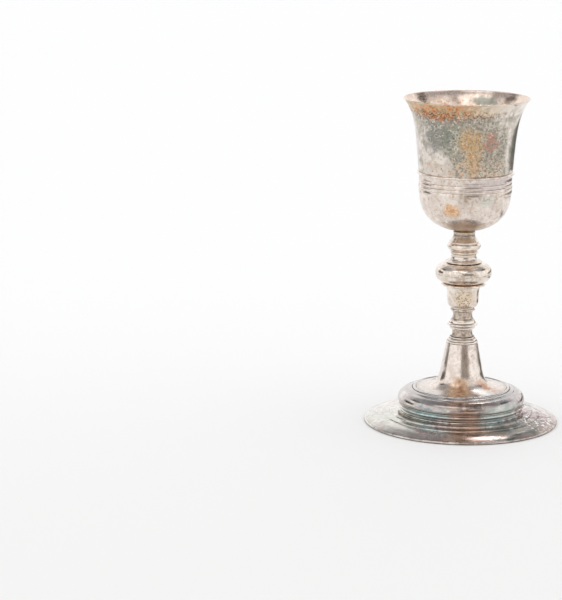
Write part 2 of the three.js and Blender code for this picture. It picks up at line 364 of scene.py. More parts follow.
STEM = {
    "foot_collar": bored(
        [(10.6, 0), *arc((9.9, 0.75), (0.75, 0.7), -60, 75, 8), (9.95, 1.65), (9.95, 2.45),
         *curve([(9.75, 2.65), (9.2, 3.0), (8.7, 3.2)], 6), (8.65, 4.0),
         *curve([(8.4, 4.15), (7.7, 4.4), (7.25, 5.3)], 8)]
    ),
    "lower_neck": bored(curve([(7.1, 0), (6.8, 1.2), (6.75, 2.6), (7.1, 3.9)], 16)),
    "ring_knop": bored(
        [*curve([(7.5, 0), (8.4, 0.6), (8.6, 1.4), (8.95, 2.25)], 14),
         *arc((9.3, 3.3), (0.92, 0.8), -62, 66, 12),
         *curve([(8.7, 4.4), (8.3, 5.5), (7.7, 6.6), (7.2, 7.2)], 14)]
    ),
    "lower_spool": bored(curve([(7, 0), (6.55, 1.4), (6.45, 3.2), (6.9, 4.9)], 20)),
    "lower_collar": bored([(7.3, 0), *arc((7.3, 1.1), (1, 0.8), -50, 60, 12), (7.9, 1.9)]),
    "vase": bored(
        [(7.8, 0), *curve([(7.85, 0.75), (9.3, 1.6), (10.2, 3.4), (10.55, 5.6), (10.7, 9.5),
                           (10.95, 12.4), (11.6, 15.1)], 60)]
    ),
    "knop_flange": bored([(12.8, 0), *arc((13.8, 1.05), (1.1, 0.72), -66, 66, 14), (13.6, 2)]),
    "knop_lower": knop_half(8.5, 2.2, 6.6, False),
    "knop_upper": knop_half(7.8, 3, 7.3, True),
    "knop_plate": bored(
        [(11.8, 0), (12.4, 0.4), (12.4, 0.8), *curve([(11.6, 1.15), (10.6, 1.4), (9.7, 1.9)], 8)]
    ),
    "upper_spool": bored(curve([(9.2, 0), (8.7, 0.8), (8.4, 2.3), (8.7, 3.8)], 18)),
    "upper_ring": bored([(8.7, 0), *arc((8.6, 0.95), (1, 0.75), -64, 64, 12), (8.8, 1.8)]),
    "upper_knop": bored([(9.1, 0), *arc((8.3, 3.2), (3, 2.6), -62, 64, 24), (9.2, 5.4)]),
    "neck": bored([(10, 0), *curve([(10.2, 0.7), (8.2, 2.9), (7.1, 5.2), (7.5, 7.45)], 24)]),
    "cup_washer": bored([(7, 0), (7, 0.6)]),
}

# ---- the foot

DISC, DISC_LEVEL = 30.4, 23.7
FOOT_RADIUS = radius_of("foot_rim_wire")


def trumpet_outline():
    top = levels("foot_trumpet")[1]
    outer = curve([(DISC, DISC_LEVEL), (25.5, 24.2), (20.6, 25.6), (17.2, 27.8), (14.8, 33),
                   (13.3, 40.5), (11.9, 47.5), (10.7, top)], 90)
    inner = curve([(DISC, DISC_LEVEL - 1), (25.3, 23.2), (20, 24.6), (16.2, 27.4), (13.8, 33),
                   (12.3, 40.5), (11, 47.5), (10.2, top - 3)], 60)
    return [*outer, (BORE, top), (BORE, top - 3), *reversed(inner)]


FOOT = {
    "foot_bead": [(30.5, 22.7), *arc((31.65, 23.2), (1.15, 0.85), 180, 0, 16), (32.8, 22.7)],
    "foot_dome": [
        (33, 22.6), (33.1, 23.1), *curve([(34.2, 22.95), (35.3, 22.6), (35.9, 21.9)], 8),
        *arc((36.4, 15.9), (6.3, 5.9), 90, 0, 34), (42.4, 14.6), (41.9, 13.9),
        (40.8, 13.9), *arc((36, 15.6), (5.6, 5.1), 0, 90, 12), (29, 21.6), (29, 22.6),
    ],
    "foot_band": [
        (42.4, 8.1), (42.3, 8.7),
        *curve([(41.6, 8.95), (41.1, 9.5), (41, 10.2), (41.5, 10.9)], 12),
        *arc((41.7, 11.75), (0.92, 0.8), -64, 70, 14), (41.5, 12.8), (41.9, 13.8),
        (40.2, 13.8), (39.8, 8.1),
    ],
    "foot_brim": [
        (38.6, 8), (46.9, 8), *curve([(47.3, 7.95), (47.9, 7.5), (48.3, 6.7)], 8),
        *curve([(48.7, 6.5), (50.5, 6.25), (52.4, 6.02)], 8),
        *curve([(52.8, 5.9), (53.1, 5.3), (54, 5.05), (58.5, 4.15), (62, 3), (64.4, 2)], 50),
        *curve([(63, 2), (58, 3.1), (53, 4.2), (47.6, 5.6)], 20), (46.6, 7), (38.6, 7),
    ],
    "foot_rim_wire": [
        (FOOT_RADIUS - 2, 0), *arc((FOOT_RADIUS - 0.85, 0.95), (0.85, 0.95), -80, 80, 16),
        (FOOT_RADIUS - 2, 1.9),
    ],
}

# ---- threads and nut


PITCH, THREAD_DEPTH, RUN_OUT = 1.5, 0.42, 0.8
CREST = 1.25  # above 1, the ridges have a flat top and the grooves a sharp bottom
ROD_CORE, ROD_SKIN = 2.0, 0.6  # the end faces stay flat inside the core
NUT_WIDTH, NUT_CORNER = 12, 1.6
NUT_CORE = 3.9  # inside this radius the nut stays round


def thread(start, end):
    """Cuts a screw thread into the outside of a rod, between two heights."""

    def cut(radius, height, angle):
        phase = height / PITCH - angle / (2 * math.pi)
        wave = np.abs(2 * (phase - np.floor(phase)) - 1)
        fade = np.clip((height - start) / RUN_OUT, 0, 1) * np.clip((end - height) / RUN_OUT, 0, 1)
        where = np.clip((radius - ROD_CORE) / ROD_SKIN, 0, 1)
        return radius - THREAD_DEPTH * np.clip(CREST * wave, 0, 1) * fade * where

    return cut


def square(radius, height, angle):
    """Turns the round nut into a square one with clipped corners, outside its bore."""
    half = NUT_WIDTH / 2
    c, s = np.abs(np.cos(angle)), np.abs(np.sin(angle))
    reach = np.minimum(half / np.maximum(c, s), (NUT_WIDTH - NUT_CORNER) / (c + s))
    share = (radius - NUT_CORE) / (half - NUT_CORE)
    return np.where(radius > NUT_CORE, NUT_CORE + share * (reach - NUT_CORE), radius)


def rod_outline(bottom, top):
    return [(0, bottom), (2.35, bottom), (3, bottom + 0.65), (3, top), (0, top)]


def nut_outline(height):
    half, bevel = NUT_WIDTH / 2, 0.45
    return [
        (3.75, 0), (half - 1.0, 0), (half - 0.25, 0.12), (half, bevel), (half, height - bevel),
        (half - 0.25, height - 0.12), (half - 1.0, height), (3.75, height), (BORE, height - 0.35),
        (BORE, 0.35),
    ]


# ---- materials


def srgb(*rgb):
    """A linear colour from an sRGB one of 0 to 255."""
    linear = [(c / 255 / 12.92) if c < 10.3 else ((c / 255 + 0.055) / 1.055) ** 2.4 for c in rgb]
    return (*linear, 1.0)


class Shader:
    """A material's node tree, with fields over the piece in millimetres."""

    def __init__(self, name):
        self.material = bpy.data.materials.new(name)
        self.material.use_nodes = True
        self.tree = self.material.node_tree
        self.tree.nodes.clear()
        coordinates = self.node("TexCoord")
        self.place = self.vector("MULTIPLY", coordinates.outputs["Object"], (PER_METRE,) * 3)
        split = self.node("SeparateXYZ")
        self.tree.links.new(self.place, split.inputs[0])
        self.x, self.y, self.z = split.outputs
        front = self.math("MULTIPLY", self.y, -1.0)
        self.turn = self.math("ARCTAN2", self.x, front)
        self.radius = self.length(self.x, self.y)
        self.big = self.noise(0.085, 3)
        self.middle = self.noise(0.34, 3)
        self.fine = self.noise(1.5, 3, 0.65)
        self.lines = self.noise(1.0, 2, 0.6, stretch=(0.05, 0.05, 2.6))
        self.grime, self.wear = self.attribute("grime"), self.attribute("wear")

    def node(self, kind, **inputs):
        """A new node, with its inputs set or linked."""
        node = self.tree.nodes.new("ShaderNode" + kind)
        for name, value in inputs.items():
            self.socket(node.inputs[name], value)
        return node

    def attribute(self, name):
        node = self.node("Attribute")
        node.attribute_name = name
        return node.outputs["Fac"]

    def socket(self, target, value):
        if isinstance(value, bpy.types.NodeSocket):
            self.tree.links.new(value, target)
        else:
            target.default_value = value

    def vector(self, operation, a, b):
        node = self.node("VectorMath")
        node.operation = operation
        self.socket(node.inputs[0], a)
        self.socket(node.inputs[1], b)
        return node.outputs[0]

    def math(self, operation, a, b=0.0, c=0.0):
        node = self.node("Math")
        node.operation = operation
        for socket, value in zip(node.inputs, (a, b, c)):
            self.socket(socket, value)
        return node.outputs[0]

    def length(self, a, b):
        squares = [self.math("MULTIPLY", part, part) for part in (a, b)]
        return self.math("SQRT", self.math("ADD", *squares))

    def swing(self, field, amount):
        """A field of 0 to 1, moved so that it swings to both sides of nothing."""
        return self.math("MULTIPLY_ADD", field, amount, -amount / 2)

    def step(self, value, low, high):
        """0 below low and 1 above high, smooth between; low may be above high."""
        node = self.node("MapRange")
        node.interpolation_type = "SMOOTHSTEP"
        flip = low > high
        self.socket(node.inputs["Value"], value)
        node.inputs["From Min"].default_value = min(low, high)
        node.inputs["From Max"].default_value = max(low, high)
        node.inputs["To Min"].default_value = 1.0 if flip else 0.0
        node.inputs["To Max"].default_value = 0.0 if flip else 1.0
        return node.outputs["Result"]

    def noise(self, scale, detail, rough=0.55, stretch=None):
        place = self.vector("MULTIPLY", self.place, stretch) if stretch else self.place
        node = self.node("TexNoise", Vector=place, Scale=scale, Detail=detail, Roughness=rough)
        return node.outputs["Fac"]

    def cells(self, scale, spread=1.0):
        """The distance to the nearest of many scattered points."""
        node = self.node("TexVoronoi", Vector=self.place, Scale=scale, Randomness=spread)
        return node.outputs["Distance"]

    def turned(self, around, across, detail):
        """Noise drawn out round the axis. around is per radian, across per millimetre."""
        level = self.math("MULTIPLY", self.math("ADD", self.z, self.radius), across)
        parts = self.node("CombineXYZ")
        for socket, part in zip(parts.inputs, (self.x, self.y)):
            share = self.math("DIVIDE", part, self.math("MAXIMUM", self.radius, 0.5))
            self.socket(socket, self.math("MULTIPLY", share, around))
        self.socket(parts.inputs[2], level)
        place = parts.outputs[0]
        node = self.node("TexNoise", Vector=place, Scale=1.0, Detail=detail, Roughness=0.6)
        return node.outputs["Fac"]

    def mix(self, share, a, b):
        node = self.node("Mix")
        node.data_type = "RGBA"
        self.socket(node.inputs["Factor"], share)
        self.socket(node.inputs["A"], a)
        self.socket(node.inputs["B"], b)
        return node.outputs["Result"]

    def tones(self, field, low, high, below, above):
        """One sRGB colour where a field is low and another where it is high."""
        return self.mix(self.step(field, low, high), srgb(*below), srgb(*above))

    def blend(self, share, a, b):
        """A number between two numbers."""
        node = self.node("Mix")
        node.data_type = "FLOAT"
        for index, value in ((0, share), (2, a), (3, b)):
            self.socket(node.inputs[index], value)
        return node.outputs[0]

    def both(self, *masks):
        result = masks[0]
        for mask in masks[1:]:
            result = self.math("MULTIPLY", result, mask)
        return result

    def either(self, a, b):
        return self.math("MAXIMUM", a, b)

    def outside(self, mask):
        return self.math("SUBTRACT", 1.0, mask)

    def patch(self, degrees, height, half_turn, half_height, soft, warp):
        """A soft irregular patch round a place on the piece: its angle and its height."""
        half_away = self.math("MULTIPLY_ADD", self.turn, 0.5, -math.radians(degrees) / 2)
        away = self.math("SINE", half_away)
        across = self.math("MULTIPLY", away, 2 / math.radians(half_turn))
        up = self.math("MULTIPLY_ADD", self.z, 1 / half_height, -height / half_height)
        ragged = self.math("ADD", self.swing(self.middle, warp), self.swing(self.big, warp))
        ragged = self.math("ADD", ragged, self.swing(self.fine, warp / 2))
        return self.step(self.math("ADD", self.length(across, up), ragged), 1 + soft, 1 - soft)

    def between(self, low, high, soft=1.0, warp=3.0):
        """A ragged band between two heights."""
        z = self.math("ADD", self.z, self.swing(self.middle, warp))
        above, below = self.step(z, low - soft, low + soft), self.step(z, high + soft, high - soft)
        return self.both(above, below)

    def finish(self, colour, rough, metal, height, depth):
        """The shader itself."""
        relief = self.node("Bump", Distance=depth * MM, Height=height).outputs["Normal"]
        shader = self.node("BsdfPrincipled", Roughness=rough, Metallic=metal, Normal=relief)
        self.socket(shader.inputs["Base Color"], colour)
        self.node("OutputMaterial", Surface=shader.outputs["BSDF"])
        return self.material


class Coat:
    """Colour, roughness, metalness and relief, changed layer by layer."""

    def __init__(self, shader, colour, rough, metal=1.0):
        self.s, self.colour, self.rough, self.metal = shader, colour, rough, metal
        self.height = 0.5

    def layer(self, mask, colour=None, rough=None, metal=None, strength=1.0):
        """Changes what is given, where the mask is 1. The colour is an sRGB one or a socket."""
        if strength != 1.0:
            mask = self.s.math("MULTIPLY", mask, strength)
        if isinstance(colour, tuple):
            colour = srgb(*colour)
        if colour is not None:
            self.colour = self.s.mix(mask, self.colour, colour)
        if rough is not None:
            self.rough = self.s.blend(mask, self.rough, rough)
        if metal is not None:
            self.metal = self.s.blend(mask, self.metal, metal)

    def stain(self, mask, field, low, high, colour, **change):
        """A layer broken up by a field, which goes from none below low to all above high."""
        self.layer(self.s.both(mask, self.s.step(field, low, high)), colour, **change)

    def relief(self, field, amount):
        self.height = self.s.math("MULTIPLY_ADD", field, amount, self.height)

    def done(self, depth):
        """The finished material; its relief is depth millimetres for a height of 1."""
        return self.s.finish(self.colour, self.rough, self.metal, self.height, depth)


def silver(name, light, dark, rough, hammered):
    """Old silver: two tones, wiping marks round the axis, hammering and pits."""
    s = Shader(name)
    cloudy = s.math("ADD", s.math("MULTIPLY", s.big, 0.6), s.math("MULTIPLY", s.middle, 0.4))
    coat = Coat(s, s.tones(cloudy, 0.38, 0.62, dark, light), rough)
    coat.layer(s.step(s.fine, 0.5, 0.72), rough=rough + 0.12)
    coat.layer(s.step(s.lines, 0.56, 0.7), dark, rough=rough + 0.08, strength=0.35)
    coat.relief(s.big, 2.2 * hammered)
    coat.relief(s.middle, 1.0 * hammered)
    coat.relief(s.fine, 0.12)
    coat.relief(s.lines, 0.1)
    coat.pits = s.both(s.step(s.cells(0.9), 0.26, 0.16), s.step(s.noise(0.5, 2), 0.52, 0.6))
    coat.relief(coat.pits, -0.5)
    return coat


def grooves(coat, colour, strength, least=0.28):
    """Edges rubbed bright, and the grooves darkened with dirt and painted shade."""
    s = coat.s
    rubbed = s.both(s.step(s.wear, 0.25, 0.9), s.step(s.middle, 0.36, 0.56))
    coat.layer(rubbed, (250, 243, 235), rough=0.12, metal=1.0, strength=0.55)
    # dirt and painted shade, darkest deep in the grooves
    groove_shade_and_dirt = s.math("MULTIPLY_ADD", s.middle, 0.5, s.math("ADD", s.grime, -0.25))
    coat.layer(s.step(groove_shade_and_dirt, least, least + 0.47), colour, rough=0.5, metal=0.55, strength=strength)


def cup_outside():
    coat = silver("silver_cup_outside", (237, 228, 219), (208, 198, 187), 0.13, 0.4)
    s = coat.s
    grain, lace = s.noise(0.6, 5, 0.75), s.noise(0.3, 5, 0.75)
    # broad grey tarnish on the upper part of the front, patchy elsewhere
    cloud = s.both(s.step(s.noise(0.045, 3, 0.6), 0.47, 0.6), s.between(168, 211))
    veil = s.either(s.patch(-6, 193, 52, 22, 0.2, 0.7),
                    s.either(s.patch(26, 186, 30, 19, 0.3, 0.9), cloud))
    pale = s.either(s.patch(-44, 177, 23, 16, 0.22, 0.9), s.patch(54, 188, 5, 18, 0.5, 0.4))
    veil = s.both(veil, s.outside(pale))
    tarnish = s.tones(grain, 0.38, 0.6, (136, 132, 120), (192, 182, 168))
    coat.layer(veil, tarnish, rough=0.2, metal=0.93)
    blue = s.patch(-40, 197, 22, 10, 0.4, 1.0)
    coat.layer(blue, s.tones(grain, 0.42, 0.6, (124, 126, 124), (164, 161, 152)), rough=0.2,
               strength=0.8)
    moss = s.both(s.patch(-16, 196, 22, 14, 0.4, 1.0), s.step(lace, 0.45, 0.55))
    coat.layer(moss, (140, 146, 128), rough=0.3, strength=0.6)
    # drying rings of old water drops
    rings = s.cells(0.3)
    ring = s.both(s.step(rings, 0.3, 0.38), s.step(rings, 0.54, 0.46),
                  s.step(s.noise(0.16, 1), 0.48, 0.56))
    coat.layer(s.both(ring, veil), (214, 210, 192), rough=0.42, strength=0.6)
    coat.layer(s.both(s.step(rings, 0.2, 0.08), veil), (108, 102, 90), strength=0.6)
    # yellow and red stains, broken up by the tarnish
    yellow = s.either(s.patch(1, 194, 12, 9, 0.5, 1.2), s.patch(4, 182, 9, 11, 0.5, 1.2))
    ochre = s.tones(grain, 0.42, 0.58, (180, 142, 100), (232, 206, 162))
    coat.layer(yellow, ochre, rough=0.32, strength=0.6)
    coat.stain(yellow, lace, 0.48, 0.56, (220, 174, 122), rough=0.34, strength=0.7)
    coat.stain(yellow, grain, 0.56, 0.64, (160, 104, 72), rough=0.4, strength=0.7)
    peach = s.both(s.patch(-2, 174, 54, 9, 0.4, 1.0), s.step(lace, 0.49, 0.57))
    coat.layer(peach, (220, 190, 164), rough=0.3, strength=0.8)
    red = s.patch(24, 195, 7.5, 6, 0.5, 1.2)
    coat.stain(red, lace, 0.42, 0.54, (196, 150, 132), rough=0.36, strength=0.8)
    coat.stain(red, grain, 0.5, 0.58, (166, 110, 92), rough=0.4, strength=0.65)
    # what is left of the gilding under the lip, worn away towards the right, with a ragged hem
    left = s.patch(-30, 215, 30, 6.5, 0.45, 1.1)
    far = s.both(s.step(s.noise(0.05, 3), 0.5, 0.58), s.between(211, 222, 1, 6))
    left = s.either(left, s.both(far, s.step(s.y, -8, 26), s.step(lace, 0.4, 0.54)))
    right = s.patch(78, 215, 60, 30, 0.5, 0.9)
    worn = s.both(s.between(211.5, 222, 1.2, 6), s.outside(right))
    gilt = s.tones(lace, 0.42, 0.56, (176, 160, 128), (232, 208, 172))
    coat.layer(worn, gilt, rough=0.34, strength=0.95)
    coat.stain(worn, grain, 0.54, 0.62, (206, 150, 106), rough=0.34, strength=0.6)
    coat.stain(left, lace, 0.45, 0.52, (212, 148, 98), rough=0.34, strength=0.85)
    coat.stain(left, grain, 0.52, 0.6, (158, 96, 66), rough=0.42, strength=0.6)
    coat.stain(worn, grain, 0.46, 0.38, (226, 214, 190), rough=0.3, strength=0.6)
    dots = s.either(s.step(s.cells(0.8), 0.5, 0.34), s.step(s.noise(1.3, 3, 0.7), 0.56, 0.62))
    hem = s.both(s.between(209.4, 214.8, 1.4, 7), dots, s.patch(-26, 212, 50, 16, 0.6, 1.0))
    hem = s.both(hem, s.step(s.noise(0.11, 2), 0.36, 0.5))
    coat.layer(hem, (108, 50, 38), rough=0.5, metal=0.7, strength=0.9)
    speck = s.both(s.step(s.cells(0.85), 0.34, 0.2), s.step(s.noise(0.3, 2), 0.5, 0.56))
    coat.layer(s.both(speck, s.between(166, 212)), (90, 72, 58), rough=0.5, strength=0.7)
    glint = s.both(s.step(s.cells(0.6, spread=0.8), 0.34, 0.2),
                   s.step(s.noise(0.24, 2), 0.5, 0.56), veil)
    coat.layer(glint, (244, 232, 214), rough=0.25, strength=0.75)
    edge = s.both(s.step(s.z, HEIGHT - 1.3, HEIGHT - 0.5), s.step(s.middle, 0.34, 0.5))
    coat.layer(edge, (240, 214, 184), rough=0.15, strength=0.7)
    return coat.done(0.03)


def cup_inside():
    coat = silver("gilt_cup_inside", (240, 222, 208), (220, 198, 182), 0.2, 0.5)
    s = coat.s
    lace = s.noise(0.4, 4, 0.72)
    coat.layer(s.both(s.step(lace, 0.5, 0.6), s.between(196, 214)), (206, 160, 120), rough=0.36,
               strength=0.7)
    coat.layer(s.patch(155, 213.5, 14, 3, 0.5, 1.0), (124, 136, 126), rough=0.34, strength=0.75)
    coat.layer(s.step(s.noise(0.5, 3, 0.7), 0.6, 0.72), (176, 130, 104), rough=0.42, strength=0.5)
    # painted shade, darker towards the bottom of the bowl
    coat.layer(s.step(s.z, 150, 138), (150, 120, 88), rough=0.45, strength=0.6)
    return coat.done(0.03)


def false_cup_skin():
    coat = silver("silver_false_cup", (240, 229, 220), (219, 206, 195), 0.2, 0.7)
    s = coat.s
    grain, lace = s.noise(0.6, 5, 0.75), s.noise(0.3, 5, 0.75)
    coat.layer(s.step(lace, 0.5, 0.6), (198, 176, 158), rough=0.32, strength=0.55)
    coat.layer(s.step(grain, 0.55, 0.65), (176, 156, 140), rough=0.36, strength=0.5)
    spot = s.patch(-22, 149, 9, 4.2, 0.5, 1.2)
    coat.layer(spot, s.tones(grain, 0.43, 0.57, (200, 138, 84), (246, 210, 164)), rough=0.34,
               strength=0.85)
    coat.stain(s.patch(24, 155, 9, 3.2, 0.8, 0.6), grain, 0.3, 0.62, (186, 204, 194), rough=0.4,
               strength=0.6)
    coat.stain(s.patch(8, 157, 26, 3, 0.7, 0.8), grain, 0.4, 0.64, (158, 140, 120), rough=0.4,
               strength=0.55)
    coat.layer(s.patch(30, 166, 30, 4.5, 0.5, 1.0), (196, 184, 186), strength=0.5)
    coat.layer(s.both(s.between(130, 140, 1.6, 4), s.patch(0, 134, 60, 9, 0.4, 0.8)),
               (176, 152, 128), rough=0.36, strength=0.7)
    grooves(coat, (104, 84, 70), 0.85)
    return coat.done(0.03)


def stem_skin():
    coat = silver("silver_stem", (243, 233, 223), (220, 206, 192), 0.15, 0.5)
    s = coat.s
    grain = s.noise(0.6, 5, 0.75)
    coat.layer(s.step(s.noise(0.4, 4, 0.7), 0.52, 0.7), (178, 150, 124), rough=0.34, strength=0.5)
    # painted shade in the narrow waists of the stem and just under the cup, which are also duller
    # where hands do not reach
    neck_shade_and_tarnish = s.either(s.between(126, 133, 1, 3),
                    s.either(s.between(70, 78, 1, 2), s.between(59, 64, 1, 2)))
    coat.layer(neck_shade_and_tarnish, s.tones(grain, 0.42, 0.58, (122, 102, 88), (200, 182, 166)), rough=0.34,
               strength=0.7)
    coat.stain(s.patch(0, 103, 26, 4.5, 0.5, 1.2), grain, 0.44, 0.6, (160, 136, 114), rough=0.36,
               strength=0.6)
    # a warm patch with dark specks on the front of the vase
    worn = s.patch(0, 85.5, 31, 6, 0.5, 0.8)
    coat.layer(worn, (232, 208, 174), rough=0.3, strength=0.55)
    specks = s.either(s.step(s.cells(0.9), 0.46, 0.3), s.step(s.noise(1.5, 2, 0.6), 0.58, 0.66))
    coat.layer(s.both(worn, specks), (122, 100, 78), rough=0.5, strength=0.8)
    coat.stain(coat.pits, s.noise(0.12, 2), 0.5, 0.6, (104, 86, 72), rough=0.5, strength=0.6)
    grooves(coat, (78, 60, 46), 0.98, 0.16)
    return coat.done(0.02)


def trumpet_skin():
    coat = silver("silver_trumpet", (240, 229, 220), (216, 202, 192), 0.17, 0.5)
    s = coat.s
    grain = s.noise(0.6, 5, 0.75)
    down = s.noise(0.55, 3, 0.6, stretch=(1, 1, 0.12))
    coat.layer(s.step(down, 0.5, 0.7), (196, 180, 168), strength=0.5)
    coat.stain(s.patch(24, 42, 24, 12, 0.5, 0.8), grain, 0.52, 0.62, (150, 136, 122), rough=0.4,
               strength=0.7)
    lace = s.noise(0.3, 5, 0.75)
    copper = s.patch(-8, 26, 21, 5.6, 0.7, 1.0)
    ochre = s.tones(grain, 0.42, 0.58, (206, 158, 116), (252, 226, 194))
    coat.layer(copper, ochre, rough=0.34, metal=0.55, strength=0.85)
    coat.stain(copper, lace, 0.5, 0.58, (196, 146, 104), rough=0.36, strength=0.7)
    brown = s.both(s.patch(-5, 28, 8, 6, 0.7, 1.2), s.step(lace, 0.42, 0.54))
    coat.layer(brown, (156, 114, 84), rough=0.36, strength=0.75)
    blush = s.both(s.patch(50, 26.5, 15, 3.4, 0.7, 1.0), s.step(lace, 0.4, 0.52))
    coat.layer(blush, (204, 150, 116), rough=0.36, strength=0.9)
    # painted highlight on the right front of the disc
    coat.layer(s.patch(30, 25, 12, 2.4, 0.5, 0.6), (255, 250, 244), rough=0.3, strength=0.9)
    coat.stain(s.step(s.radius, 21, 27), s.big, 0.45, 0.62, (188, 186, 184), rough=0.3,
               strength=0.5)
    coat.stain(s.step(s.radius, 28, 30), s.middle, 0.42, 0.6, (140, 150, 146), rough=0.4,
               metal=0.8, strength=0.6)
    grooves(coat, (126, 114, 104), 0.6)
    return coat.done(0.02)


def foot_skin():
    coat = silver("silver_foot", (234, 228, 222), (212, 204, 199), 0.15, 0.5)
    s = coat.s
    grain, lace = s.noise(0.5, 5, 0.75), s.noise(0.16, 4, 0.65)
    streak, band = s.turned(5, 0.4, 5), s.turned(3, 0.26, 4)
    # lilac and grey tarnish, laid round by the wiping
    front = s.patch(8, 12, 70, 60, 0.3, 0.5)
    clean = s.outside(s.patch(-84, 8, 40, 40, 0.4, 0.5))
    coat.layer(s.both(s.step(band, 0.44, 0.58), front), (170, 160, 160), rough=0.22, strength=0.6)
    coat.layer(s.both(s.step(streak, 0.5, 0.64), clean), (172, 162, 164), rough=0.24, strength=0.5)
    coat.stain(s.between(13, 22.5, 0.8, 1), band, 0.36, 0.5, (184, 176, 174), strength=0.55)
    # verdigris in the hollows, most of it left and right of the front
    sides = s.either(s.patch(-34, 9, 30, 9, 0.5, 0.9), s.patch(42, 8, 32, 9, 0.5, 0.9))
    behind = s.step(s.noise(0.07, 3), 0.5, 0.6)
    hollow = s.step(s.math("ADD", s.grime, s.swing(s.middle, 0.8)), 0.05, 0.5)
    green = s.both(s.either(sides, behind), s.either(hollow, s.step(streak, 0.46, 0.58)), clean)
    teal = s.tones(streak, 0.4, 0.6, (182, 206, 202), (104, 142, 146))
    coat.layer(green, teal, rough=0.32, metal=0.8, strength=0.75)
    coat.stain(green, grain, 0.55, 0.64, (212, 224, 218), rough=0.3, strength=0.6)
    cove = s.either(s.patch(40, 10.6, 28, 3.4, 0.5, 0.6), s.patch(-36, 11.8, 26, 2.8, 0.5, 0.6))
    pool = s.tones(streak, 0.38, 0.6, (200, 226, 224), (142, 184, 188))
    coat.layer(s.both(cove, s.step(lace, 0.3, 0.44)), pool, rough=0.42, metal=0.35, strength=0.85)
    pale = s.tones(streak, 0.38, 0.6, (218, 222, 212), (178, 190, 182))
    coat.layer(s.both(s.patch(44, 14.2, 26, 3.6, 0.5, 0.8), s.step(lace, 0.3, 0.46)), pale,
               rough=0.42, metal=0.2, strength=0.95)
    shade = s.patch(-34, 8.7, 26, 1.3, 0.6, 0.6)
    coat.stain(shade, streak, 0.34, 0.5, (92, 98, 94), rough=0.3, strength=0.7)
    coat.stain(s.patch(-66, 4, 32, 7, 0.6, 0.8), lace, 0.36, 0.54, (204, 209, 196), strength=0.6)
    slate = s.both(s.patch(44, 5.6, 24, 2.2, 0.6, 1.0), s.step(streak, 0.4, 0.54))
    coat.layer(slate, (104, 140, 140), rough=0.3, metal=0.8, strength=0.7)
    # brown stains on the front and pink ones on the right
    pink = s.either(s.patch(70, 7, 18, 10, 0.5, 1.0),
                    s.both(s.step(band, 0.52, 0.64), s.step(s.z, 16, 8), clean))
    coat.layer(pink, s.tones(grain, 0.42, 0.58, (150, 116, 114), (226, 202, 200)), rough=0.26,
               strength=0.75)
    burnt = s.both(s.patch(66, 7, 20, 8, 0.5, 0.9), s.step(s.noise(0.16, 4, 0.7), 0.49, 0.55))
    coat.layer(burnt, (112, 80, 77), rough=0.3, strength=0.85)
    # painted reflection: a dark brownish band on the lower right of the brim
    brim_dark_reflection = s.both(s.patch(40, 3.5, 32, 5, 0.5, 1.0), s.step(band, 0.3, 0.46))
    coat.layer(brim_dark_reflection, s.tones(streak, 0.42, 0.58, (100, 104, 98), (146, 134, 124)), rough=0.2,
               strength=0.95)
    centre = s.either(s.patch(0, 9, 15, 17, 0.6, 1.0),
                      s.both(s.patch(0, 20.5, 20, 4, 0.6, 0.8), s.step(lace, 0.36, 0.5)))
    coat.layer(centre, s.tones(streak, 0.4, 0.6, (130, 112, 102), (188, 164, 149)), rough=0.22,
               strength=0.93)
    coat.layer(s.patch(0, 9.8, 15, 3.6, 0.6, 0.8), (206, 180, 162), strength=0.45)
    rust = s.both(s.patch(3, 11, 12, 8, 0.5, 1.0), s.step(streak, 0.5, 0.58))
    coat.layer(rust, (220, 170, 136), rough=0.26, strength=0.5)
    low = s.both(s.step(s.z, 4.4, 3.6), s.patch(20, 3, 70, 8, 0.4, 0.6),
                 s.step(streak, 0.36, 0.54))
    coat.layer(low, (174, 154, 146), rough=0.22, strength=0.6)
    flecks = s.both(s.step(s.cells(0.6), 0.3, 0.18), s.step(s.noise(0.25, 2), 0.52, 0.6))
    coat.layer(flecks, (92, 80, 72), rough=0.45, metal=0.8, strength=0.5)
    shine = s.both(s.step(s.noise(0.42, 4, 0.7), 0.54, 0.6), s.patch(68, 7, 18, 8, 0.5, 0.9))
    coat.layer(shine, (255, 250, 246), rough=0.22, strength=0.9)
    grooves(coat, (100, 92, 86), 0.6, 0.5)
    bead = s.both(s.between(21.6, 24.4, 0.5, 0.5), s.step(s.middle, 0.3, 0.5))
    coat.layer(bead, (188, 183, 181), rough=0.28, strength=0.55)
    # painted shadow along the underside of the rim wire, at the very bottom of the foot
    coat.layer(s.step(s.z, 1.0, 0.2), (104, 92, 82), rough=0.5, strength=0.7)
    return coat.done(0.03)


def foot_inside():
    """The raised shells of the foot from below: hammer marks, dull and never polished."""
    s = Shader("silver_foot_inside")
    coat = Coat(s, s.tones(s.big, 0.4, 0.6, (150, 140, 131), (186, 176, 167)), 0.42)
    coat.layer(s.step(s.noise(0.2, 5, 0.7), 0.5, 0.62), (128, 116, 106), rough=0.5, strength=0.7)
    coat.layer(s.step(s.noise(0.11, 4, 0.7), 0.56, 0.64), (126, 142, 134), rough=0.55, metal=0.6,
               strength=0.5)
    coat.layer(s.step(s.fine, 0.54, 0.66), (104, 92, 82), rough=0.6, metal=0.8, strength=0.6)
    coat.relief(s.cells(0.19), 1.4)
    coat.relief(s.middle, 0.4)
    coat.relief(s.fine, 0.2)
    return coat.done(0.06)


